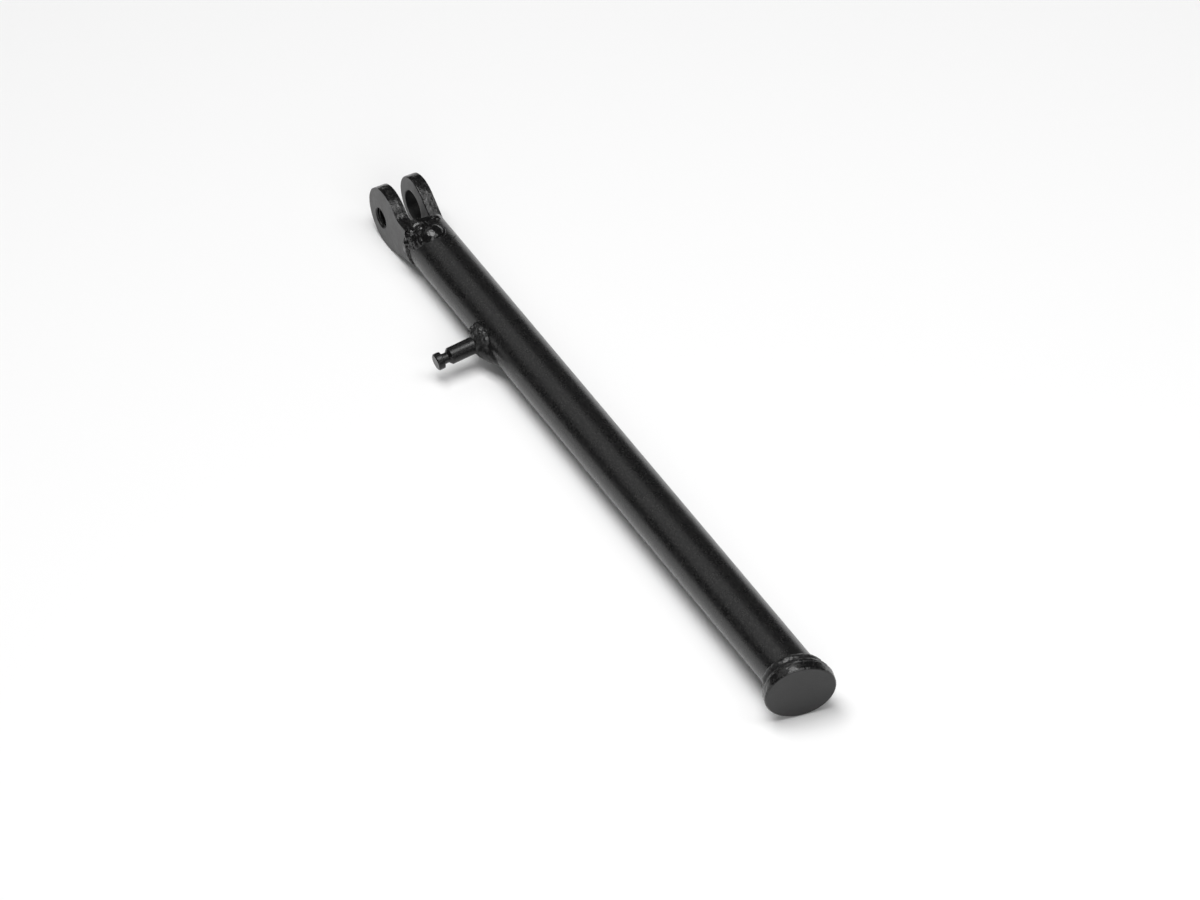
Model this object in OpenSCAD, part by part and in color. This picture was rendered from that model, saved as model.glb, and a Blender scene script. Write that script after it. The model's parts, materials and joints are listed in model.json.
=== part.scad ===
// Prop stand leg for a bicycle, lying on its side.
// A steel tube carries two welded ear plates at the pivot end, a grooved
// spring peg on its side and a tilted round foot at the far end.
// The origin is on the pivot axis, at the plain ear's inner face. X runs down
// the leg to the foot, Y runs along the pivot axis, and Z points up.

/* [Leg tube] */
// Outside diameter of the tube
tube_d = 19; // [17:0.5:24]
// Wall thickness of the tube
tube_wall = 2; // [1.2:0.1:3]
// Distance from the pivot axis to the tube's foot end, along its middle
leg_len = 300; // [200:1:400]
// Distance from the pivot axis to the tube's fork end
tube_start = 18.3; // [16:0.1:24]

/* [Ear plates] */
// Thickness of both ear plates
ear_t = 4.75; // [3:0.25:6]
// Gap between the ears
ear_gap = 8.6; // [6:0.1:10]
// Radius of the plain ear's round eye
plain_eye_r = 11; // [9:0.1:13]
// Distance of the plain eye's centre past the pivot axis, towards the foot
plain_eye_x = 0.8; // [-1:0.1:2]
// Height of the plain eye's centre above the pivot axis
plain_eye_z = 1.4; // [-1:0.1:2]
// Height of the plain ear's upper edge where it meets the tube
plain_root_top = 1.2; // [0.5:0.1:6]
// Depth of the plain ear's lower edge where it meets the tube
plain_root_low = 5; // [1:0.1:6]
// Radius of the threaded ear's round eye
thread_eye_r = 12.2; // [10:0.1:14]
// Distance of the threaded eye's centre past the pivot axis, towards the foot
thread_eye_x = 3.1; // [0:0.1:4]
// Height of the threaded eye's centre above the pivot axis
thread_eye_z = 1.8; // [0:0.1:3]
// Height of the threaded ear's shoulder, which runs level to its end
shoulder_top = 8.4; // [7:0.1:9]
// Radius of the hollow between the threaded eye and its shoulder
shoulder_r = 5; // [2:0.5:8]
// How far the shoulder laps over the tube's end
shoulder_lap = 2.2; // [0.5:0.1:4]
// How far the lower tail of the threaded ear laps along the tube
tail_lap = 6.7; // [3:0.1:10]
// Depth of the tail's tip below the pivot axis
tail_low = 4.4; // [4:0.1:6]

/* [Pivot holes] */
// Diameter of the plain hole, which clears the pivot bolt's shoulder
plain_bore_d = 12.4; // [8:0.1:14]
// Core diameter of the threaded hole
thread_core_d = 6.8; // [5:0.1:9]
// Mouth diameter of the chamfer at both ends of the threaded hole
thread_mouth_d = 8.6; // [7:0.1:11]

/* [Spring peg] */
// Diameter of the peg and of its head
peg_d = 6.4; // [5:0.1:8]
// Distance from the pivot axis to the peg, along the leg
peg_x = 80.5; // [50:0.5:150]
// Reach of the peg from the middle of the tube
peg_reach = 28.2; // [22:0.1:36]
// Angle of the peg below the pivot axis's direction
peg_drop = 6; // [-20:1:20]
// Thickness of the peg's head
head_t = 2.6; // [1.5:0.1:4]
// Width of the spring groove
groove_w = 2.3; // [1.5:0.1:4]
// Diameter at the bottom of the spring groove
groove_d = 4; // [2.5:0.1:4.8]
// Edge chamfer on the peg's head
peg_edge = 0.4; // [0.1:0.05:0.6]
// Edge chamfer on the peg's body, beside the groove
body_edge = 1; // [0.1:0.1:1.2]

/* [Foot] */
// Diameter of the foot disc
foot_d = 25.8; // [24:0.1:36]
// Thickness of the foot disc
foot_t = 4; // [2.5:0.1:6]
// Distance from the tube's middle to the foot disc's, towards the peg's side
foot_shift = 0.6; // [0:0.1:1.5]
// Angle by which the foot faces the peg's side
foot_side = 13.3; // [0:0.1:20]
// Angle by which the foot faces down
foot_down = 9.2; // [0:0.1:15]
// Chamfer round both edges of the foot disc
foot_edge = 0.5; // [0.1:0.1:1]

/* [Welds] */
// Section radius of the bead between the foot disc and the tube
foot_bead_r = 2.6; // [1.5:0.1:3]
// Section radius of the second bead, which laps the first one along the tube
lap_bead_r = 2.5; // [1.5:0.1:3]
// Distance between the two beads, along the tube
lap_step = 3.8; // [2:0.1:4]
// Radius of the domed weld round the peg's root
peg_bead_r = 7.2; // [6:0.1:9]
// Radius of the lump where the peg's weld ends, on the foot's side
peg_lump_r = 2.9; // [2:0.1:4]
// Section radius of the bead on the tube's rim, across the crotch on top
rim_bead_r = 3; // [1.5:0.1:3.5]
// Section radius of the bead across the crotch underneath
under_bead_r = 1.6; // [1:0.1:2]
// Radius of the puddle in front of the crotch, on top of the tube
puddle_r = 5.4; // [4.5:0.1:7]
// Rise of the puddle above the tube
puddle_rise = 2; // [1:0.1:3]
// Distance from the tube's fork end to the middle of the puddle
puddle_run = 9.1; // [7:0.1:11]
// Distance from the leg's middle to the puddle's, towards the peg's side
puddle_side = 1.5; // [0:0.1:2]
// Section radius of the bead round the tube, at the threaded ear's end
seam_bead_r = 2.2; // [1.5:0.1:3]
// Radius of the largest drop of weld in front of that bead
drop_r = 3; // [2:0.1:3.5]
// Number of drops
drop_count = 4; // [2:1:6]
// Length of the fill on the plain ear's sloping edge, in front of the tube
fill_len = 5; // [2:0.1:7]

/* [Hidden] */
$fn = 96;
tube_r = tube_d / 2;
bore_r = tube_r - tube_wall;
mid_y = -ear_gap / 2;
far_y = -ear_gap - ear_t;
shoulder_end = tube_start + shoulder_lap;
tail_end = tube_start + tail_lap;
// cutters run past the faces that they cut by this much
over = 1;
// a distance too small to see
hair = 0.02;
black = [0.06, 0.06, 0.065];
weld_black = [0.10, 0.10, 0.105];

// Tangent point on a circle, for the line that comes from a point outside it.
// side is 1 for the upper tangent and -1 for the lower one. The point lies a
// hair inside the circle, so that the line and the circle cross cleanly.
function tangent_point(centre, r, from, side) =
    let (v = from - centre, d = norm(v), in = r - hair, a = atan2(v[1], v[0]) + side * acos(in / d))
    centre + in * [cos(a), sin(a)];

// A round bar along the leg's middle
module bar(r, x_from, x_to) {
    translate([x_from, mid_y, 0]) rotate([0, 90, 0]) cylinder(r = r, h = x_to - x_from);
}

// The foot's frame: it starts in the middle of the disc's back, and its Z axis
// is the disc's outward normal
module at_foot() {
    translate([leg_len, mid_y - foot_shift, 0]) rotate([0, foot_down, -foot_side]) rotate([0, 90, 0]) children();
}

// The peg's frame: it starts on the tube's axis, with Z along the peg
module at_peg() {
    translate([peg_x, mid_y, 0]) rotate([90 + peg_drop, 0, 0]) children();
}

// Everything beyond the disc's back face
module beyond_foot() {
    at_foot() cylinder(r = foot_d, h = 3 * foot_d);
}

// An upright outline in X and Z, made into a plate from y_low to y_low + ear_t
module slab(y_low) {
    translate([0, y_low + ear_t, 0]) rotate([90, 0, 0]) linear_extrude(ear_t) children();
}

// The tube as one solid bar, for coping what is welded to it
module tube_bar() {
    bar(tube_r, tube_start, leg_len + foot_d);
}

module leg_tube() {
    color(black) difference() {
        tube_bar();
        bar(bore_r, tube_start - over, leg_len + foot_d + over);
        beyond_foot();
        at_peg() cylinder(d = peg_d, h = tube_d);
    }
}

// The threaded ear before its hole is drilled: a round eye, a hollowed shoulder
// on top that runs level to its end, and a tail that narrows along the tube's
// lower side. It is coped over the tube's end.
module threaded_blank() {
    eye = [thread_eye_x, thread_eye_z];
    hollow_z = shoulder_top + shoulder_r;
    hollow_dx = sqrt(pow(thread_eye_r + shoulder_r, 2) - pow(hollow_z - thread_eye_z, 2));
    hollow = [thread_eye_x + hollow_dx, hollow_z];
    tip = [tail_end, -tail_low];
    // a corner that the coping cuts away
    heel = [tube_start + shoulder_lap / 10, tail_low / 3];
    difference() {
        union() {
            slab(far_y) translate(eye) circle(thread_eye_r);
            slab(far_y) polygon([eye, hollow, [hollow[0], shoulder_top], [shoulder_end, shoulder_top],
                                 heel, [tail_end, 0], tip, tangent_point(eye, thread_eye_r, tip, -1)]);
        }
        translate([hollow[0], far_y - over, hollow[1]]) rotate([-90, 0, 0])
            cylinder(r = shoulder_r, h = ear_t + 2 * over);
        tube_bar();
    }
}

module threaded_ear() {
    chamfer = (thread_mouth_d - thread_core_d) / 2;
    color(black) difference() {
        threaded_blank();
        translate([0, far_y - over, 0]) rotate([-90, 0, 0]) rotate_extrude()
            polygon([[0, 0], [thread_mouth_d / 2 + over, 0], [thread_core_d / 2, over + chamfer],
                     [thread_core_d / 2, over + ear_t - chamfer],
                     [thread_mouth_d / 2 + over, 2 * over + ear_t], [0, 2 * over + ear_t]]);
    }
}

// The plain ear before its hole is drilled: a round eye with straight sides
// that run to the tube
module plain_blank() {
    eye = [plain_eye_x, plain_eye_z];
    top = [tube_start, plain_root_top];
    low = [tube_start, -plain_root_low];
    slab(0) translate(eye) circle(plain_eye_r);
    slab(0) polygon([eye, tangent_point(eye, plain_eye_r, top, 1), top, low,
                     tangent_point(eye, plain_eye_r, low, -1)]);
}

module plain_ear() {
    color(black) difference() {
        union() plain_blank();
        translate([0, -over, 0]) rotate([-90, 0, 0]) cylinder(d = plain_bore_d, h = ear_t + 2 * over);
    }
}

// A bead on the tube's rim, from one ear's inner face to the other's. Its middle
// runs lower than the tube's skin by sink.
module rim_bead(r, sink, on_top) {
    lead = 0.6 * r;
    intersection() {
        translate([tube_start + lead, mid_y, 0]) rotate([0, on_top ? 90 : -90, 0])
            rotate([0, 0, 90]) rotate_extrude(angle = 180) translate([tube_r - sink, 0]) circle(r);
        translate([0, -ear_gap, -tube_d]) cube([tube_start + tube_d, ear_gap, 2 * tube_d]);
    }
}

// A bead round the tube, from one angle to another. Angles are counted from
// the top of the tube towards the peg's side.
module seam_bead(r, from_angle, to_angle) {
    lead = r / 2;
    sink = r / 4;
    translate([shoulder_end + lead, mid_y, 0]) rotate([0, 90, 0]) rotate([0, 0, 180 + from_angle])
        rotate_extrude(angle = to_angle - from_angle) translate([tube_r - sink, 0]) circle(r);
}

// The bead closes the crotch on top, and a puddle runs on from it along the
// tube. Another bead runs down the side at the threaded ear's end, with drops
// of weld in front of it that get smaller on the way down.
module fork_weld_top() {
    crest_sink = 1.9;
    seam_from = 20;
    seam_to = 85;
    first_lead = 5.6;
    last_lead = 3.2;
    first_angle = 38;
    last_angle = 76;
    drop_sink = 0.35 * drop_r;
    last_size = 0.7;
    color(weld_black) difference() {
        union() {
            rim_bead(rim_bead_r, crest_sink, true);
            translate([tube_start + puddle_run, mid_y - puddle_side, tube_r - puddle_r + puddle_rise])
                sphere(puddle_r);
            seam_bead(seam_bead_r, seam_from, seam_to);
            for (i = [0 : drop_count - 1]) {
                part = i / (drop_count - 1);
                lead = first_lead + (last_lead - first_lead) * part * part;
                angle = first_angle + (last_angle - first_angle) * part;
                size = 1 + (last_size - 1) * part;
                translate([shoulder_end + lead, mid_y, 0]) rotate([angle, 0, 0])
                    translate([0, 0, tube_r - drop_sink]) sphere(drop_r * size);
            }
        }
        tube_bar();
        threaded_blank();
    }
}

module fork_weld_under() {
    under_sink = 0.9;
    color(weld_black) difference() {
        rim_bead(under_bead_r, under_sink, false);
        tube_bar();
    }
}

// A smooth fill between the plain ear's sloping edge and the tube's rim
module plain_ear_weld() {
    eye = [plain_eye_x, plain_eye_z];
    root = [tube_start, plain_root_top];
    edge = tangent_point(eye, plain_eye_r, root, 1) - root;
    color(weld_black) intersection() {
        bar(tube_r, 0, tube_start);
        slab(0) polygon([root, root + edge * fill_len / norm(edge), [tube_start, tube_r]]);
    }
}

module spring_peg() {
    r = peg_d / 2;
    neck = groove_d / 2;
    head = peg_reach - head_t;
    groove = head - groove_w;
    land = 0.1;
    edge = min(body_edge, r - neck - land);
    color(black) at_peg() rotate_extrude()
        polygon([[0, bore_r], [r, bore_r], [r, groove - edge], [r - edge, groove], [neck, groove],
                 [neck, head], [r - peg_edge / 2, head], [r, head + peg_edge / 2],
                 [r, peg_reach - peg_edge], [r - peg_edge, peg_reach], [0, peg_reach]]);
}

// A dome round the peg's root, and a lump where the weld ends
module peg_weld() {
    dome_sink = 2.7;
    lump_sink = 0.6;
    lump_angle = 18;
    color(weld_black) difference() {
        union() {
            at_peg() translate([0, 0, tube_r - dome_sink]) sphere(peg_bead_r);
            translate([peg_bead_r, 0, 0]) at_peg() rotate([lump_angle, 0, 0])
                translate([0, 0, tube_r - lump_sink]) sphere(peg_lump_r);
        }
        at_peg() cylinder(d = peg_d, h = peg_reach);
        tube_bar();
    }
}

module foot_disc() {
    r = foot_d / 2;
    color(black) at_foot() rotate_extrude()
        polygon([[0, 0], [r - foot_edge, 0], [r, foot_edge], [r, foot_t - foot_edge],
                 [r - foot_edge, foot_t], [0, foot_t]]);
}

// A ring of weld parallel to the foot, round the tube's middle, moved back along it
module foot_bead(r, ring_r, back) {
    translate([-back, foot_shift, 0]) at_foot() rotate_extrude() translate([ring_r, 0]) circle(r);
}

module foot_weld() {
    lap_sink = 0.3;
    color(weld_black) difference() {
        union() {
            foot_bead(foot_bead_r, tube_r, 0);
            foot_bead(lap_bead_r, tube_r - lap_sink, lap_step);
        }
        tube_bar();
        beyond_foot();
    }
}

leg_tube();
threaded_ear();
plain_ear();
fork_weld_top();
fork_weld_under();
plain_ear_weld();
spring_peg();
peg_weld();
foot_disc();
foot_weld();
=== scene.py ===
# %% [markdown]
# # A black prop stand leg, dressed for its portrait
# The part is a small steel weldment under a black powder coat: a tube, two cut ear
# plates, a turned spring peg, a round foot and the welds that hold them together.
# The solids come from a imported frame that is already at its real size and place.
# Here they get what a camera sees: rounded edges, craggy welds, a real thread and
# the grain of the coat.

# %% Load the fixed frame
import json
import math
import random

import bmesh
import bpy
from mathutils import Matrix, Quaternion, Vector, noise


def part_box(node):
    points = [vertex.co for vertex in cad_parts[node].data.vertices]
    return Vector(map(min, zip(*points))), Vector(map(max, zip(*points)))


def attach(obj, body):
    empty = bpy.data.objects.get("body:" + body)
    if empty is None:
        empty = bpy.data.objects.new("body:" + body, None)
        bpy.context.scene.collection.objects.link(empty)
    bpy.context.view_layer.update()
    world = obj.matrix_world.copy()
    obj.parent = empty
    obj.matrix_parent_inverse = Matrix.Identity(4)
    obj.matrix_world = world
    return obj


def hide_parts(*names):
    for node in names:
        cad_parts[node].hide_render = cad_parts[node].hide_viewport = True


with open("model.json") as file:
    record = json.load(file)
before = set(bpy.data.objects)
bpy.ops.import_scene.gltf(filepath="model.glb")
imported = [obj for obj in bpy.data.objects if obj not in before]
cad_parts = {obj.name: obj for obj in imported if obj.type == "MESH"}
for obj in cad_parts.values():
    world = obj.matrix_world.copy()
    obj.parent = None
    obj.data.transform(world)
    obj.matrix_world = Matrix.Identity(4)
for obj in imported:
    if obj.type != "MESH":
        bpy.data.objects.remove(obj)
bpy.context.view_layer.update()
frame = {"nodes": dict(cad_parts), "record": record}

MM = 0.001
nodes = frame["nodes"]
scene = bpy.context.scene
print("loaded", len(nodes), "nodes:", ", ".join(sorted(nodes)))

# %% [markdown]
# ## The camera
# A long lens from far away keeps the tube's sides nearly parallel, as product
# photographers like it. A camera can be turned by three angles, but nobody can picture
# those. So it is described the way a person would set it up: where it stands, the
# point on the leg that it looks at, and a small roll.

# %% Camera
CAMERA_PLACE = Vector((2115.5, -966.2, 1899.0)) * MM
CAMERA_TARGET = Vector((156.6, -5.4, 0.0)) * MM
CAMERA_ROLL = math.radians(-3.16)
CAMERA_LENS = 243.26


def make_camera():
    """A camera that looks from its place at its target, rolled about its own axis."""
    camera = bpy.data.objects.new("camera", bpy.data.cameras.new("camera"))
    scene.collection.objects.link(camera)
    aim = (CAMERA_TARGET - CAMERA_PLACE).to_track_quat("-Z", "Y")
    camera.rotation_mode = "QUATERNION"
    camera.rotation_quaternion = aim @ Quaternion((0, 0, 1), CAMERA_ROLL)
    camera.location = CAMERA_PLACE
    camera.data.lens = CAMERA_LENS
    scene.camera = camera


make_camera()
print("camera", round((CAMERA_TARGET - CAMERA_PLACE).length, 3), "m from the leg")

# %% [markdown]
# ## The floor
# The leg lies on its side and touches the floor at three points: the lowest point of
# each ear and the lowest point of the foot. A floor could be slid up by eye until it
# touches, but three points make a plane, so the floor is worked out from them and
# isn't guessed. It is so wide that its edge never shows.

# %% Floor
FLOOR_HALF = 6.0


def lowest_point(node):
    """The lowest vertex of a CAD node."""
    return min((v.co.copy() for v in nodes[node].data.vertices), key=lambda co: co.z)


def new_piece(name, bm):
    """Turns a finished bmesh into an object at the origin, and frees the bmesh."""
    mesh = bpy.data.meshes.new(name)
    bm.to_mesh(mesh)
    bm.free()
    piece = bpy.data.objects.new(name, mesh)
    scene.collection.objects.link(piece)
    return piece


def make_floor():
    """A wide square through the three points that carry the leg, and the way it faces."""
    near, far, foot = (lowest_point(n) for n in ("threaded_ear", "plain_ear", "foot_disc"))
    up = (foot - near).cross(far - near).normalized()
    up = up if up.z > 0 else -up
    turn = up.to_track_quat("Z", "Y").to_matrix().to_4x4()
    bm = bmesh.new()
    bmesh.ops.create_grid(bm, x_segments=1, y_segments=1, size=FLOOR_HALF)
    bmesh.ops.transform(bm, matrix=Matrix.Translation(near) @ turn, verts=bm.verts)
    floor = new_piece("floor", bm)
    return floor, up


floor, floor_up = make_floor()
print("floor leans", round(math.degrees(floor_up.angle(Vector((0, 0, 1)))), 2), "degrees")

# %% [markdown]
# ## Light
# A black coat shows mostly what it mirrors, so each light here is a panel, placed for
# its mirror image. The wide pale band along the tube is the image of the big one behind
# the leg, which is no brighter than the floor. The small glints on the welds come from
# the brighter key overhead, which also drops the short soft shadow under the peg. One
# panel stands straight ahead of the foot and gives its flat face an even grey; the rest
# of that grey is painted light, a paler black on the face. A small one, high on the plain
# ear's side, lifts what faces that way. A sun or a bright sky would be simpler, but then
# the tube would mirror nothing with an edge. The room round the panels stays dark.

# %% Light
KEY_PLACE = Vector((0.08, -0.20, 1.6))         # all four are measured from the camera's target
KEY_SIZE = (1.3, 0.85)
KEY_GLOW = 7.5
BACK_PLACE = Vector((-1.35, -0.52, 1.30))
BACK_SIZE = (1.9, 0.9)
BACK_GLOW = 0.6
FRONT_PLACE = Vector((1.70, -0.45, 0.90))
FRONT_SIZE = (1.5, 0.9)
FRONT_GLOW = 3.0
SIDE_PLACE = Vector((0.70, 0.50, 1.30))
SIDE_SIZE = (0.6, 0.5)
SIDE_GLOW = 3.0
ROOM_GLOW = 0.04


def soft_panel(name, place, size, glow):
    """A soft light that faces the leg. Its power follows from its glow and its area."""
    light = bpy.data.lights.new(name, "AREA")
    light.shape = "RECTANGLE"
    light.size, light.size_y = size
    light.energy = math.pi * size[0] * size[1] * glow
    lamp = bpy.data.objects.new(name, light)
    spot = CAMERA_TARGET + place
    lamp.location = spot
    lamp.rotation_mode = "QUATERNION"
    lamp.rotation_quaternion = (CAMERA_TARGET - spot).to_track_quat("-Z", "Y")
    scene.collection.objects.link(lamp)


def make_room():
    """A dim, even room."""
    world = bpy.data.worlds.new("room")
    world.use_nodes = True
    world.node_tree.nodes["Background"].inputs["Color"].default_value = (1, 1, 1, 1)
    world.node_tree.nodes["Background"].inputs["Strength"].default_value = ROOM_GLOW
    scene.world = world


make_room()
soft_panel("key", KEY_PLACE, KEY_SIZE, KEY_GLOW)
soft_panel("back", BACK_PLACE, BACK_SIZE, BACK_GLOW)
soft_panel("front", FRONT_PLACE, FRONT_SIZE, FRONT_GLOW)
soft_panel("side", SIDE_PLACE, SIDE_SIZE, SIDE_GLOW)
scene.view_settings.view_transform = "Standard"
print("four soft panels; the key is", KEY_PLACE.z, "m up")

# %% [markdown]
# ## The finish
# Powder coat is a plastic film that melts over the steel. It is deep black and half
# matt, and its skin has a fine grain like orange peel, which breaks up the mirror
# image of the white panel. Every piece has the same coat, but it lies differently:
# grainy on the tube, smooth on plate, blotchy on cut edges and thin and glossy on
# welds. Painted pictures could show that, but they would need unwrapping and would
# blur close up. So one recipe makes all the coats: two sizes of noise drive a bump, the
# slow one also moves the roughness, and the fine one the colour.

# %% Coat materials
BLACK = (0.003, 0.003, 0.0032)
DUSTY = (0.011, 0.0108, 0.0105)
DUST_FROM = 0.48        # the grain's noise value where dust starts to show
DUST_FULL = 0.72        # and where it hides the black
SHEEN_SPREAD = 0.08     # how far the slow waves move the roughness, up and down
NOISE_DETAIL = 2


def noise_layer(tree, place, size_mm):
    """A noise texture whose blotches are about size_mm across."""
    layer = tree.nodes.new("ShaderNodeTexNoise")
    layer.inputs["Scale"].default_value = 1 / (size_mm * MM)
    layer.inputs["Detail"].default_value = NOISE_DETAIL
    tree.links.new(place, layer.inputs["Vector"])
    return layer.outputs["Fac"]


def stacked_bumps(tree, layers):
    """The surface normal after one bump on top of another, from pairs of height and depth."""
    normal = None
    for height, depth_mm in layers:
        bump = tree.nodes.new("ShaderNodeBump")
        bump.inputs["Distance"].default_value = depth_mm * MM
        tree.links.new(height, bump.inputs["Height"])
        if normal:
            tree.links.new(normal, bump.inputs["Normal"])
        normal = bump.outputs["Normal"]
    return normal


def coat(name, roughness, grain_mm, grain_depth_mm, wave_mm, wave_depth_mm,
         lift=1, dust=1, ior=1.5):
    """Black powder coat. Its grain and its slow waves each have a size and a depth."""
    material = bpy.data.materials.new(name)
    material.use_nodes = True
    tree = material.node_tree
    shader = tree.nodes["Principled BSDF"]
    shader.inputs["IOR"].default_value = ior
    place = tree.nodes.new("ShaderNodeTexCoord")
    grain = noise_layer(tree, place.outputs["Object"], grain_mm)
    wave = noise_layer(tree, place.outputs["Object"], wave_mm)
    normal = stacked_bumps(tree, ((wave, wave_depth_mm), (grain, grain_depth_mm)))
    tree.links.new(normal, shader.inputs["Normal"])

    spread = tree.nodes.new("ShaderNodeMapRange")
    spread.inputs["To Min"].default_value = roughness - SHEEN_SPREAD
    spread.inputs["To Max"].default_value = roughness + SHEEN_SPREAD
    tree.links.new(wave, spread.inputs["Value"])
    tree.links.new(spread.outputs["Result"], shader.inputs["Roughness"])

    tint = tree.nodes.new("ShaderNodeValToRGB")
    dark, pale = tint.color_ramp.elements
    dark.position, pale.position = DUST_FROM, DUST_FULL
    # lift pales the black: painted light, which only the foot's flat face uses
    dark.color = (*(lift * c for c in BLACK), 1)
    pale.color = (*(dust * c for c in DUSTY), 1)
    tree.links.new(grain, tint.inputs["Fac"])
    tree.links.new(tint.outputs["Color"], shader.inputs["Base Color"])
    return material


def paint(piece, *materials):
    """Gives a piece its materials, the first one everywhere unless its faces say otherwise."""
    piece.data.materials.clear()
    for material in materials:
        piece.data.materials.append(material)


# after the name come the roughness, the grain's size and depth and the waves' size and depth
tube_coat = coat("tube_coat", 0.28, 0.47, 0.05, 5, 0.012, dust=2.7)
plate_coat = coat("plate_coat", 0.34, 0.8, 0.06, 4, 0.09, dust=1.5, ior=1.45)
edge_coat = coat("cut_edge_coat", 0.27, 0.9, 0.09, 2.8, 0.42, dust=2)
peg_coat = coat("peg_coat", 0.27, 0.6, 0.02, 3, 0.03, ior=1.42)
# painted light: the foot's flat face has its black painted 1.8 times paler, though it is the same
# coat
foot_face_painted_light_coat = coat("foot_face_painted_light", 0.36, 0.5, 0.006, 6, 0.02, lift=1.8)
bore_coat = coat("bore_coat", 0.5, 0.6, 0.05, 3, 0.05, ior=1.3)
weld_coat = coat("weld_coat", 0.24, 0.7, 0.03, 3, 0.02)
crust_coat = coat("crust_coat", 0.36, 0.7, 0.14, 2, 0.1, dust=2.2)
fillet_coat = coat("fillet_coat", 0.36, 0.47, 0.05, 5, 0.02, dust=2.4, ior=1.39)
paint(nodes["leg_tube"], tube_coat)
print("mixed nine coats")

# %% [markdown]
# ## Paper
# The leg lies on white paper. It is plain and matt: it takes the soft shadows and shows
# up as the pale strip along the underside of the tube. Real paper is a little darker
# than white, so its shade stays below 1. A brighter one would only look flat.

# %% Paper
PAPER_SHADE = 0.86
PAPER_ROUGHNESS = 0.9


def make_paper():
    """Matt white paper."""
    material = bpy.data.materials.new("white_paper")
    material.use_nodes = True
    shader = material.node_tree.nodes["Principled BSDF"]
    shader.inputs["Base Color"].default_value = (PAPER_SHADE, PAPER_SHADE, PAPER_SHADE, 1)
    shader.inputs["Roughness"].default_value = PAPER_ROUGHNESS
    return material


paint(floor, make_paper())
print("the paper sends back", PAPER_SHADE, "of the light")

# %% [markdown]
# ## Plates and pins with rounded edges
# Nothing that is dipped in powder keeps a sharp edge. The ears, the peg and the foot
# have the right shape already, and modelling them again would only add mistakes. So
# each is a copy of its solid: its triangles are joined, flat faces are made whole
# again, and every sharp edge gets a small bevel. The cut edges of the ears are rough
# from sawing, so they get a blotchy coat of their own.

# %% Rounded copies of the solids
SHARP = math.radians(28)       # an edge that turns more than this gets rounded
FLAT = math.radians(0.5)       # faces that turn less than this become one face
SAME_PLACE_MM = 0.002
BEVEL_STEPS = 3
EAR_ROUND_MM = 0.45
PEG_ROUND_MM = 0.12
FOOT_ROUND_MM = 0.2
HOLE_ZONE_MM = 7               # an ear's hole lies within this reach of the pivot axis
FLAT_SIDE_LEAN = 0.8           # a face that looks along the axis more than this is a flat side
HOLE_WALL_LEAN = 0.5
FOOT_FACE_LEAN = 0.9


def merged_copy(node):
    """A bmesh copy of a CAD node with its loose triangles joined into whole faces."""
    bm = bmesh.new()
    bm.from_mesh(nodes[node].data)
    bmesh.ops.remove_doubles(bm, verts=bm.verts, dist=SAME_PLACE_MM * MM)
    bmesh.ops.dissolve_limit(bm, angle_limit=FLAT, verts=bm.verts, edges=bm.edges)
    return bm


def round_edges(bm, width_mm):
    """Bevels each edge where the surface turns sharply, and says how many there were."""
    sharp = [e for e in bm.edges if len(e.link_faces) == 2 and e.calc_face_angle(0) > SHARP]
    bmesh.ops.bevel(bm, geom=sharp, offset=width_mm * MM, offset_type="OFFSET",
                    affect="EDGES", segments=BEVEL_STEPS, profile=0.5, material=-1,
                    clamp_overlap=True)
    return len(sharp)


def finish_piece(piece, slot, replaced, *materials):
    """Shades a piece smoothly, flat faces kept flat, paints and parents it, and hides its solid.
    """
    piece.data.shade_smooth()
    weights = piece.modifiers.new("even_normals", "WEIGHTED_NORMAL")
    weights.keep_sharp = True
    chosen = [polygon.material_index for polygon in piece.data.polygons]
    paint(piece, *materials)
    piece.data.polygons.foreach_set("material_index", chosen)
    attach(piece, "root")
    if replaced:
        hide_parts(replaced)


def choose_faces(bm, *pickers):
    """Gives the second material to the faces the first picker says yes to, and so on."""
    bm.normal_update()
    for number, picked in enumerate(pickers, start=1):
        for face in bm.faces:
            if picked(face):
                face.material_index = number


def rounded_piece(node, width_mm, slot, *materials, pickers=()):
    """A rounded copy that stands for its CAD node. Pickers choose faces for more materials."""
    bm = merged_copy(node)
    rounded = round_edges(bm, width_mm)
    choose_faces(bm, *pickers)
    print("coated_" + node, "has", rounded, "rounded edges")
    finish_piece(new_piece("coated_" + node, bm), slot, node, *materials)


def from_pivot(face):
    """How far a face is from the pivot axis."""
    middle = face.calc_center_median()
    return math.hypot(middle.x, middle.z)


def on_cut_edge(face):
    """True on the outer cut edge of an ear, and not on its flat sides or in its hole."""
    return abs(face.normal.y) < FLAT_SIDE_LEAN and from_pivot(face) > HOLE_ZONE_MM * MM


def in_hole(face):
    """True inside an ear's hole."""
    return abs(face.normal.y) < HOLE_WALL_LEAN and from_pivot(face) < HOLE_ZONE_MM * MM


def on_foot_face(face):
    """True on the foot's big flat face, which looks away from the tube."""
    return face.normal.x > FOOT_FACE_LEAN


rounded_piece("plain_ear", EAR_ROUND_MM, "plate_coat", plate_coat, edge_coat, bore_coat,
              pickers=(on_cut_edge, in_hole))
rounded_piece("spring_peg", PEG_ROUND_MM, "peg_coat", peg_coat)
# the foot's flat face takes the coat with the paler black, which is painted light
rounded_piece("foot_disc", FOOT_ROUND_MM, "plate_coat", edge_coat, foot_face_painted_light_coat,
              pickers=(on_foot_face,))

# %% [markdown]
# ## The threaded ear
# The solid has a plain hole at the thread's core diameter, which is what a bolt's core
# needs. The real hole is tapped M8. A bump could fake the thread, but the camera looks
# right into the hole. So the wall is opened to the thread's full diameter and a
# screw-shaped ridge is put back in. Spin with a lift per step makes it.

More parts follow.
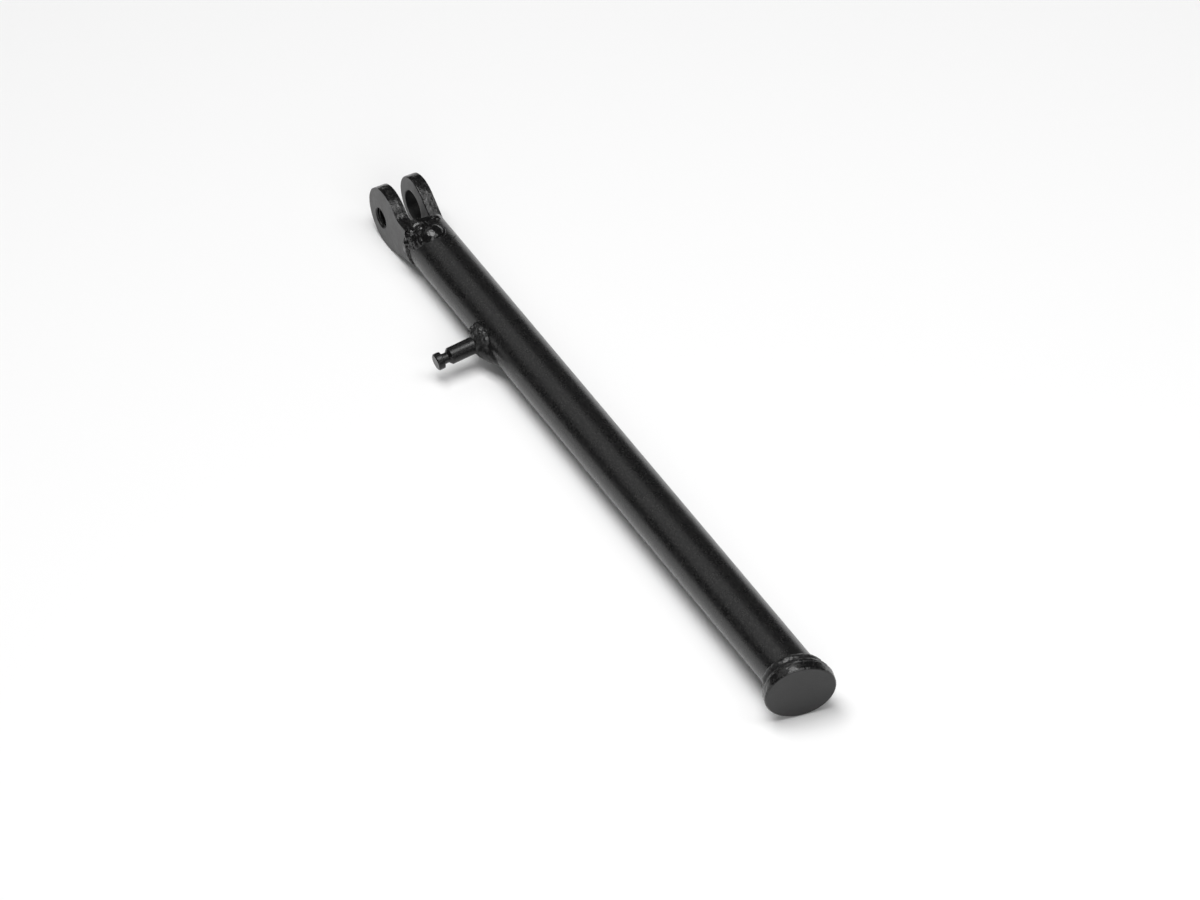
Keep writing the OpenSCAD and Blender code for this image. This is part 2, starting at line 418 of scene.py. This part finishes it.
# %% The threaded ear and its thread
THREAD_PITCH = 1.25
CORE_R = 3.4
FULL_R = 4.0
CORE_SLACK = 0.05              # a vertex this little outside the core still belongs to it
THREAD_MARGIN = 0.7            # the thread stays this far inside the ear's two sides
STEPS_PER_TURN = 40
RIDGE_FOOT = 0.5               # half the ridge's width at the wall, which it is sunk into
RIDGE_TIP = 0.08               # half its width at the tip
RIDGE_SINK = 0.08
ear_low, ear_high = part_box("threaded_ear")


def threaded_ear_piece():
    """The rounded ear with its hole opened from the core to the full diameter."""
    bm = merged_copy("threaded_ear")
    for vert in bm.verts:
        reach = math.hypot(vert.co.x, vert.co.z)
        if reach < (CORE_R + CORE_SLACK) * MM:
            vert.co.x *= FULL_R * MM / reach
            vert.co.z *= FULL_R * MM / reach
    rounded = round_edges(bm, EAR_ROUND_MM)
    choose_faces(bm, on_cut_edge, in_hole)
    print("coated_threaded_ear has", rounded, "rounded edges")
    finish_piece(new_piece("coated_threaded_ear", bm), "plate_coat", "threaded_ear",
                 plate_coat, edge_coat, bore_coat)


def thread_piece():
    """A V-shaped ridge that winds through the hole."""
    start = ear_low.y + THREAD_MARGIN * MM
    turns = (ear_high.y - ear_low.y - 2 * THREAD_MARGIN * MM) / (THREAD_PITCH * MM)
    steps = round(STEPS_PER_TURN * turns)
    corners = [(FULL_R + RIDGE_SINK, -RIDGE_FOOT), (FULL_R + RIDGE_SINK, RIDGE_FOOT),
               (CORE_R, RIDGE_TIP), (CORE_R, -RIDGE_TIP)]
    bm = bmesh.new()
    face = bm.faces.new([bm.verts.new((r * MM, start + y * MM, 0)) for r, y in corners])
    bmesh.ops.spin(bm, geom=[face], cent=(0, 0, 0), axis=(0, 1, 0),
                   angle=2 * math.pi * turns, dvec=(0, turns * THREAD_PITCH * MM / steps, 0),
                   steps=steps, use_merge=False)
    bmesh.ops.recalc_face_normals(bm, faces=bm.faces)
    print("thread has", round(turns, 1), "turns and", len(bm.faces), "faces")
    finish_piece(new_piece("pivot_thread_ridge", bm), "plate_coat", None, plate_coat)


threaded_ear_piece()
thread_piece()

# %% [markdown]
# ## Places on the tube
# All the welds sit on the tube. Places on it could be typed in as x, y and z, but they
# would soon miss its skin. So a place is told as a tape measure would tell it: so far
# along the tube, so many degrees round it and so high above its skin.

# %% Where the tube is
tube_low, tube_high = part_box("leg_tube")
TUBE_R = (tube_high.z - tube_low.z) / 2 / MM
TUBE_Y = (tube_high.y + tube_low.y) / 2 / MM
print("tube", round(2 * TUBE_R, 2), "mm across, middle at y", round(TUBE_Y, 2), "mm")


def on_tube(x, angle, height):
    """A point above the tube's skin. Angles run from the top towards the peg's side."""
    turn = math.radians(angle)
    reach = TUBE_R + height
    return Vector((x, TUBE_Y - reach * math.sin(turn), reach * math.cos(turn)))


# %% [markdown]
# ## Melting drops into a weld
# A weld is laid drop by drop, and each drop melts into the last. It could be sculpted
# by hand or be a tube with a bump, but a hand can't be repeated and a bump has no
# outline. So each weld here is a crowd of balls that follow the seam. A voxel remesh
# melts them into one skin, smoothing rounds the valleys, and a little noise makes the
# skin restless. Where the bead was calm, as on a puddle, the noise is turned down.

# %% Melting drops into a weld
SMOOTH_FACTOR = 0.5
QUIET = 0.04                   # the share of the noise that is left in a calm place
CALM_CORE = 0.7                # the noise grows from this part of a calm place's radius
NOISE_FALL, NOISE_STEP, NOISE_LAYERS = 1.0, 2.0, 3
BALL_STEPS = 3
BAR_SIDES = 64
SLEEVE_SINK = 0.25
SLEEVE_WALL = 1
SLEEVE_STEP = 3                # degrees


def remeshed(source, voxel_mm):
    """The voxel-remeshed mesh of an object as a bmesh. The object is removed."""
    remesh = source.modifiers.new("melt", "REMESH")
    remesh.mode = "VOXEL"
    remesh.voxel_size = voxel_mm * MM
    seen = source.evaluated_get(bpy.context.evaluated_depsgraph_get())
    bm = bmesh.new()
    bm.from_mesh(seen.to_mesh())
    bpy.data.objects.remove(source)
    return bm


def smooth(bm, rounds, verts=None):
    """Relaxes the given vertices, or all of them, towards their neighbours a few times."""
    for _ in range(rounds):
        bmesh.ops.smooth_vert(bm, verts=verts or bm.verts, factor=SMOOTH_FACTOR,
                              use_axis_x=True, use_axis_y=True, use_axis_z=True)
    bm.normal_update()


def in_calm(vert, calm):
    """True inside one of the calm places."""
    return any((vert.co / MM - centre).length < radius for centre, radius in calm)


def roughen(bm, crag_mm, crag_size_mm, calm=()):
    """Moves the skin in and out by noise. calm is a list of centres and radii of calm places."""
    for vert in bm.verts:
        loud = 1.0
        for centre, radius in calm:
            away = (vert.co / MM - centre).length / radius
            loud = min(loud, max(QUIET, away - CALM_CORE))
        swell = noise.fractal(vert.co / (crag_size_mm * MM), NOISE_FALL, NOISE_STEP, NOISE_LAYERS)
        vert.co += vert.normal * (swell * crag_mm * loud * MM)


def add_ball(bm, centre, radius):
    """A ball for the melt, in millimetres."""
    bmesh.ops.create_icosphere(bm, subdivisions=BALL_STEPS, radius=radius * MM,
                               matrix=Matrix.Translation(centre * MM))


def add_bar(bm, start, end, radius):
    """A round bar for the melt, in millimetres."""
    along = end - start
    turn = along.to_track_quat("Z", "Y").to_matrix().to_4x4()
    bmesh.ops.create_cone(bm, cap_ends=True, segments=BAR_SIDES, radius1=radius * MM,
                          radius2=radius * MM, depth=along.length * MM,
                          matrix=Matrix.Translation((start + end) / 2 * MM) @ turn)


def add_sleeve(bm, x_from, x_to, first, last):
    """A part of the tube's own wall, sunk below its skin, so that a weld can flow into it."""
    corners = [(x_from, -SLEEVE_SINK - SLEEVE_WALL), (x_to, -SLEEVE_SINK - SLEEVE_WALL),
               (x_to, -SLEEVE_SINK), (x_from, -SLEEVE_SINK)]
    face = bm.faces.new([bm.verts.new(on_tube(x, first, height) * MM) for x, height in corners])
    bmesh.ops.spin(bm, geom=[face], cent=Vector((0, TUBE_Y, 0)) * MM, axis=(1, 0, 0),
                   angle=math.radians(last - first), steps=round((last - first) / SLEEVE_STEP),
                   use_merge=False)
    bmesh.ops.recalc_face_normals(bm, faces=bm.faces)


def melt(name, drops, node, sleeve=None, bars=(), smoothing=8, crag_mm=0.12, crag_size_mm=1.4,
         voxel_mm=0.2, calm=(), calm_rounds=0, materials=(weld_coat,), pickers=()):
    """Makes one weld from drops, which are pairs of a centre and a radius in millimetres."""
    bm = bmesh.new()
    if sleeve:
        add_sleeve(bm, *sleeve)
    for centre, radius in drops:
        add_ball(bm, centre, radius)
    for bar in bars:
        add_bar(bm, *bar)
    bm = remeshed(new_piece(name + "_drops", bm), voxel_mm)
    smooth(bm, smoothing)
    smooth(bm, calm_rounds, [vert for vert in bm.verts if in_calm(vert, calm)])
    roughen(bm, crag_mm, crag_size_mm, calm)
    choose_faces(bm, *pickers)
    print(name, "melted from", len(drops), "drops into", len(bm.faces), "faces")
    finish_piece(new_piece(name, bm), "weld_coat", node, *materials)


# %% [markdown]
# ## The fork weld
# It closes the crotch between the two ears and ties both to the tube. First comes a
# crest from ear to ear, and a calm puddle that ran on from it along the tube. Then come
# drops down the threaded ear's shoulder, laid in a hurry, so they stand up as lumps.
# The big drops are placed one by one, since the eye knows this weld from the photo.
# Only a few small ones are strewn. A thin bead follows the rest of that ear's end.

# %% Fork weld
FORK_X = tube_low.x / MM
SHOULDER_X = FORK_X + 2.2
PUDDLE = Vector((FORK_X + 8.9, TUBE_Y - 1.3, TUBE_R - 3.2))
PUDDLE_R = 5.3
PUDDLE_CALM_R = 5.6
CREST_DROPS = 6
CREST_X = FORK_X + 1.6
CREST_FROM, CREST_WIDTH = 3.8, 7.4                 # across the tube
CREST_SINK, CREST_RISE = 2.7, 0.2                  # below the tube's top, and up per drop
CREST_R, CREST_SWELL = 2.2, 0.14                   # of the first drop, and more per drop
# a row per drop: mm from the tube's rim, mm across from its axis, mm above its top, radius
NECK_DROPS = ((4.6, -3.6, -1.5, 2.5), (3.6, -2.2, -1.2, 2.3), (5.2, -0.6, -2.4, 2.6))
# a row per drop: mm from the shoulder, degrees round the tube, mm above its skin, radius
SIDE_DROPS = ((4.6, 33, -0.9, 2.7), (7.0, 40, -1.3, 2.6), (4.2, 46, -0.8, 2.3),
              (6.6, 51, -1.1, 2.2), (3.6, 58, -0.9, 2.0), (5.6, 62, -1.1, 1.9),
              (3.4, 70, -1.0, 1.7), (-0.8, 24, 0.1, 1.8), (0.2, 33, 0.0, 2.0),
              (0.2, 44, 0.1, 1.9), (0.8, 55, 0.0, 1.8), (1.4, 65, -0.3, 1.5))
STREWN_DROPS = 6
STREWN_X, STREWN_SPREAD = SHOULDER_X + 0.8, 5
STREWN_FROM, STREWN_SWEEP = 28, 42                 # degrees
STREWN_HEIGHT = (0.4, 0.9)
STREWN_R = (0.7, 1.1)
SEAM_DROPS = 28
SEAM_X, SEAM_BEND = SHOULDER_X + 0.5, 4.4          # the tail lies this much further down the leg
SEAM_FROM, SEAM_SWEEP = 34, 84                     # degrees
SEAM_SINK = 0.2
SEAM_R, SEAM_THINNING = 1.4, 0.5
SEAM_BEAT = 0.1                                    # the drops swell in steps, three by three
rng = random.Random(7)


def fork_drops():
    """The puddle, the crest, the neck between them, and the drops down the side."""
    drops = [(PUDDLE, PUDDLE_R)]
    for i in range(CREST_DROPS):
        y = CREST_FROM - CREST_WIDTH * i / (CREST_DROPS - 1)
        place = Vector((CREST_X, TUBE_Y + y, TUBE_R - CREST_SINK + CREST_RISE * i))
        drops.append((place, CREST_R + CREST_SWELL * i))
    for x, y, z, radius in NECK_DROPS:
        drops.append((Vector((FORK_X + x, TUBE_Y + y, TUBE_R + z)), radius))
    for x, angle, height, radius in SIDE_DROPS:
        drops.append((on_tube(SHOULDER_X + x, angle, height), radius))
    for _ in range(STREWN_DROPS):
        part = rng.random()
        x = STREWN_X + rng.uniform(0, STREWN_SPREAD) * (1 - 0.5 * part)
        place = on_tube(x, STREWN_FROM + STREWN_SWEEP * part, rng.uniform(*STREWN_HEIGHT))
        drops.append((place, rng.uniform(*STREWN_R)))
    return drops


def seam_drops():
    """A thin bead down the threaded ear's end, from its shoulder to its tail."""
    drops = []
    for i in range(SEAM_DROPS):
        part = i / (SEAM_DROPS - 1)
        x = SEAM_X + SEAM_BEND * part * part
        place = on_tube(x, SEAM_FROM + SEAM_SWEEP * part, -SEAM_SINK)
        drops.append((place, SEAM_R - SEAM_THINNING * part + SEAM_BEAT * (i % 3)))
    return drops


melt("fork_weld", fork_drops(), "fork_weld_top", smoothing=6, crag_mm=0.42, crag_size_mm=1.9,
     calm=[(PUDDLE, PUDDLE_CALM_R)])
melt("ear_seam_weld", seam_drops(), None, smoothing=12, crag_mm=0.07, crag_size_mm=1.3,
     voxel_mm=0.16)

# %% [markdown]
# ## The rim of the puddle
# Where the puddle lapped over cold tube it froze with a fine raised line. The remesh of
# the big weld is too coarse to keep such a line. So it is a melt of its own, with
# smaller voxels: small drops on an arc round the puddle's middle, thickest halfway.

# %% Rim of the puddle
RIM_DROPS = 40
RIM_R = 4.7
RIM_FROM, RIM_SWEEP = 5, 130                       # degrees
RIM_SINK = 0.12
RIM_THIN, RIM_SWELL = 0.25, 0.3                    # radius at the ends, and more halfway


def rim_drops():
    """A fine raised line where the puddle lapped over the cold tube, on its far side."""
    drops = []
    for i in range(RIM_DROPS):
        turn = math.radians(RIM_FROM + RIM_SWEEP * i / (RIM_DROPS - 1))
        x, y = PUDDLE.x + RIM_R * math.cos(turn), PUDDLE.y + RIM_R * math.sin(turn)
        z = math.sqrt(TUBE_R ** 2 - (y - TUBE_Y) ** 2) - RIM_SINK
        radius = RIM_THIN + RIM_SWELL * math.sin(math.pi * i / (RIM_DROPS - 1))
        drops.append((Vector((x, y, z)), radius))
    return drops


melt("puddle_rim_weld", rim_drops(), None, smoothing=3, crag_mm=0.04, voxel_mm=0.12)

# %% [markdown]
# ## Spatter
# A few beads flew off the weld and stuck to the tube. A bead that cools in the air is
# a small ball, so each is left as a ball, sunk a little into the skin. A particle
# system could strew hundreds, but the photo shows only a handful.

# %% Spatter
SPATTER_BEADS = 4
SPATTER_X = (31, 42)           # mm down the leg
SPATTER_ANGLE = (-45, 60)      # degrees round the tube
SPATTER_R = (0.25, 0.45)
SPATTER_SINK = 0.1


def spatter_piece():
    """Tiny beads that flew off and stuck to the tube near the fork weld."""
    bm = bmesh.new()
    for _ in range(SPATTER_BEADS):
        place = on_tube(rng.uniform(*SPATTER_X), rng.uniform(*SPATTER_ANGLE), -SPATTER_SINK)
        add_ball(bm, place, rng.uniform(*SPATTER_R))
    print("fork_spatter has", SPATTER_BEADS, "beads")
    finish_piece(new_piece("fork_spatter", bm), "weld_coat", None, weld_coat)


spatter_piece()

# %% [markdown]
# ## The weld under the fork
# The other side of the crotch isn't in the photo. A fork like this is welded on both
# sides, or it would tear open, so a plain thin row of drops closes it from below. It
# is kept simple: nothing is known of its looks.

# %% Weld under the fork
UNDER_DROPS = 11
UNDER_X, UNDER_ZIGZAG = FORK_X + 0.9, 0.2
UNDER_FROM, UNDER_WIDTH = 3.9, 7.8                 # across the tube
UNDER_SINK = 1.3
UNDER_R, UNDER_SWELL = 1.55, 0.15


def under_drops():
    """A thin row of drops along the rim, from ear to ear. Every third one is bigger."""
    drops = []
    for i in range(UNDER_DROPS):
        x = UNDER_X + UNDER_ZIGZAG * (i % 2)
        y = TUBE_Y + UNDER_FROM - UNDER_WIDTH * i / (UNDER_DROPS - 1)
        place = Vector((x, y, -(TUBE_R - UNDER_SINK)))
        drops.append((place, UNDER_R + UNDER_SWELL * (i % 3 == 1)))
    return drops


melt("fork_under_weld", under_drops(), "fork_weld_under")

# %% [markdown]
# ## The peg weld
# The peg's weld is two things at once. Towards the foot and the floor it is a smooth
# cone that runs out along the tube in a low tail. Over the top and towards the fork it
# is a crust of small lumps. Two welds side by side would show a line between them, so
# it is one melt with calm places. A part of the tube's wall and the peg's root are
# melted in as well, so that the weld flows into both. The smooth part takes a finer
# coat, close to the tube's.

# %% Peg weld
mounts = {mount["name"]: mount for mount in frame["record"]["mounts"]}
PEG_AXIS = Vector(mounts["spring_groove"]["axis"])
PEG_X = mounts["spring_groove"]["pos_m"][0] / MM
PEG_R = 3.2
PEG_ROOT = Vector((PEG_X, TUBE_Y, 0))
PEG_SLEEVE = (PEG_X - 11, PEG_X + 17, 45, 150)     # from x to x, and from angle to angle
CALM_LEAN, CALM_LOW = 4.2, -1.5                    # where the smooth cone begins
# a row per drop: mm from the peg's axis, degrees round it, mm beyond the tube's skin, radius
CONE_DROPS = ((0.2, -40, -2.4, 6.5), (0, 0, 0.2, 4.3))
INNER_ARC = {"count": 8, "start": 60, "sweep": 150, "reach": 3.5, "stray": 0.2,
             "height": 1.2, "radii": (1.4, 1.8)}
OUTER_ARC = {"count": 10, "start": 40, "sweep": 190, "reach": 5.4, "stray": 0.3,
             "height": -0.8, "radii": (1.5, 2.1), "wander": 5}
CRUMBS = 46
CRUMB_ANGLE = (45, 190)
CRUMB_REACH = (4.0, 6.0)
CRUMB_HEIGHT = (-0.2, 1.6)
CRUMB_R = (0.45, 0.85)
# a row per drop: mm from the peg towards the foot, degrees round the tube, mm above its
# skin, radius
TAIL_DROPS = ((2.6, 108, 0.6, 3.2), (4.4, 100, 0.0, 3.2), (4.6, 109, 0.3, 2.9),
              (6.4, 104, -0.4, 2.7), (6.6, 111, -0.2, 2.6), (8.6, 100, -1.0, 2.5),
              (8.8, 108, -0.5, 2.4), (10.8, 105, -0.9, 2.0), (12.6, 107, -0.9, 1.4))


def round_peg(radius, angle, height):
    """A point round the peg's axis. Angles run from the foot's side over the top."""
    side = Vector((1, 0, 0))
    turn = math.radians(angle)
    around = side * math.cos(turn) + PEG_AXIS.cross(side) * math.sin(turn)
    return PEG_ROOT + PEG_AXIS * height + around * radius


def arc_of_lumps(count, start, sweep, reach, stray, height, radii, wander=0):
    """Lumps on an arc round the peg. Their reach strays and their angle wanders a little."""
    drops = []
    for i in range(count):
        angle = start + sweep * i / (count - 1)
        if wander:
            angle += rng.uniform(-wander, wander)
        place = round_peg(reach + rng.uniform(-stray, stray), angle, TUBE_R + height)
        drops.append((place, rng.uniform(*radii)))
    return drops


def crumbs():
    """Small crusts between the lumps."""
    drops = []
    for _ in range(CRUMBS):
        angle = rng.uniform(*CRUMB_ANGLE)
        place = round_peg(rng.uniform(*CRUMB_REACH), angle, TUBE_R + rng.uniform(*CRUMB_HEIGHT))
        drops.append((place, rng.uniform(*CRUMB_R)))
    return drops


def peg_drops():
    """A smooth cone and its tail on the foot's side, and lumps on the fork's side."""
    cone = [(round_peg(reach, angle, TUBE_R + height), radius)
            for reach, angle, height, radius in CONE_DROPS]
    lumps = arc_of_lumps(**INNER_ARC) + arc_of_lumps(**OUTER_ARC) + crumbs()
    tail = [(on_tube(PEG_X + x, angle, height), radius) for x, angle, height, radius in TAIL_DROPS]
    return cone + lumps + tail


def on_calm_side(face):
    """True on the smooth cone, towards the foot and the floor."""
    place = face.calc_center_median() / MM - PEG_ROOT
    return place.x - place.z > CALM_LEAN or place.z < CALM_LOW


# the root is a little thinner than the peg, so that it never shows
peg_root = (round_peg(0, 0, TUBE_R - 1), round_peg(0, 0, TUBE_R + 6), PEG_R - 0.15)
cone_calm = (round_peg(6, -50, TUBE_R), 7.5)
tail_calm = (on_tube(PEG_X + 10, 100, 0), 6)
melt("peg_root_weld", peg_drops(), "peg_weld", sleeve=PEG_SLEEVE, bars=[peg_root],
     smoothing=5, crag_mm=0.22, crag_size_mm=0.8, voxel_mm=0.17, calm_rounds=60,
     calm=[cone_calm, tail_calm], materials=(crust_coat, fillet_coat),
     pickers=(on_calm_side,))

# %% [markdown]
# ## The foot weld
# The foot sits askew on the tube's end, and the weld runs round behind it. A plain ring
# would look turned on a lathe. So two rings of drops lie parallel to the foot, one in
# the corner and one further up the tube, and they wander more on the peg's side, where
# some crusts sit on top. The tube's wall is melted in, so that the weld flows into it.

# %% Foot weld
FOOT_T = 4
FOOT_OUT = Vector(mounts["foot_face"]["axis"])
FOOT_X = mounts["foot_face"]["pos_m"][0] / MM - FOOT_T * FOOT_OUT.x
FOOT_SLEEVE = (FOOT_X - 12, FOOT_X - 2, 0, 360)
RING_DROPS = 60
TAME_SHARE = 0.2               # of the wandering is left on the side away from the peg's
FOOT_LUMPS = 22
LUMP_ANGLE = (195, 300)
LUMP_BACK = (3.2, 6.2)         # mm up the tube from the foot
LUMP_HEIGHT = (0.4, 1.6)
LUMP_R = (0.8, 1.3)


def foot_frame(back):
    """The foot's frame, moved back along the tube."""
    return (Matrix.Translation(Vector((FOOT_X - back, TUBE_Y, 0)))
            @ FOOT_OUT.to_track_quat("Z", "Y").to_matrix().to_4x4())


def ring_of_drops(back, ring_r, radius, wander):
    """Drops on a ring parallel to the foot. They wander more on the peg's side."""
    place = foot_frame(back)
    drops = []
    for i in range(RING_DROPS):
        turn = 2 * math.pi * i / RING_DROPS
        wild = wander * (TAME_SHARE + max(0, -math.sin(turn)))
        reach = ring_r + rng.uniform(-wild, wild)
        point = Vector((reach * math.cos(turn), reach * math.sin(turn), rng.uniform(-wild, wild)))
        drops.append((place @ point, radius + rng.uniform(-wild, wild) / 2))
    return drops


def foot_lumps():
    """Small crusts on the peg's side of the foot weld."""
    drops = []
    for _ in range(FOOT_LUMPS):
        turn = math.radians(rng.uniform(*LUMP_ANGLE))
        place = foot_frame(rng.uniform(*LUMP_BACK))
        reach = TUBE_R + rng.uniform(*LUMP_HEIGHT)
        point = Vector((reach * math.cos(turn), reach * math.sin(turn), 0))
        drops.append((place @ point, rng.uniform(*LUMP_R)))
    return drops


foot_drops = (ring_of_drops(back=0.4, ring_r=TUBE_R + 0.1, radius=2.4, wander=0.3)
              + ring_of_drops(back=3.9, ring_r=TUBE_R - 0.45, radius=2.3, wander=0.4)
              + foot_lumps())
melt("foot_ring_weld", foot_drops, "foot_weld", sleeve=FOOT_SLEEVE, smoothing=12,
     crag_mm=0.14, crag_size_mm=1.6, voxel_mm=0.22, materials=(crust_coat,))

# %% [markdown]
# ## The fill on the plain ear
# The plain ear meets only the tube's rim, and its fill bridges the gap. This weld is
# small and out of the photo, and its solid has the right shape already. Drops would
# be wasted on it, so the solid itself is remeshed, smoothed and roughened a little.

# %% Fill on the plain ear
FILL_VOXEL_MM = 0.15
FILL_ROUNDS = 3
FILL_CRAG_MM, FILL_CRAG_SIZE_MM = 0.06, 1.4
fill = remeshed(new_piece("ear_fill_rough", merged_copy("plain_ear_weld")), FILL_VOXEL_MM)
smooth(fill, FILL_ROUNDS)
roughen(fill, FILL_CRAG_MM, FILL_CRAG_SIZE_MM)
print("ear fill softened into", len(fill.faces), "faces")
finish_piece(new_piece("ear_fill_weld", fill), "weld_coat", "plain_ear_weld", weld_coat)
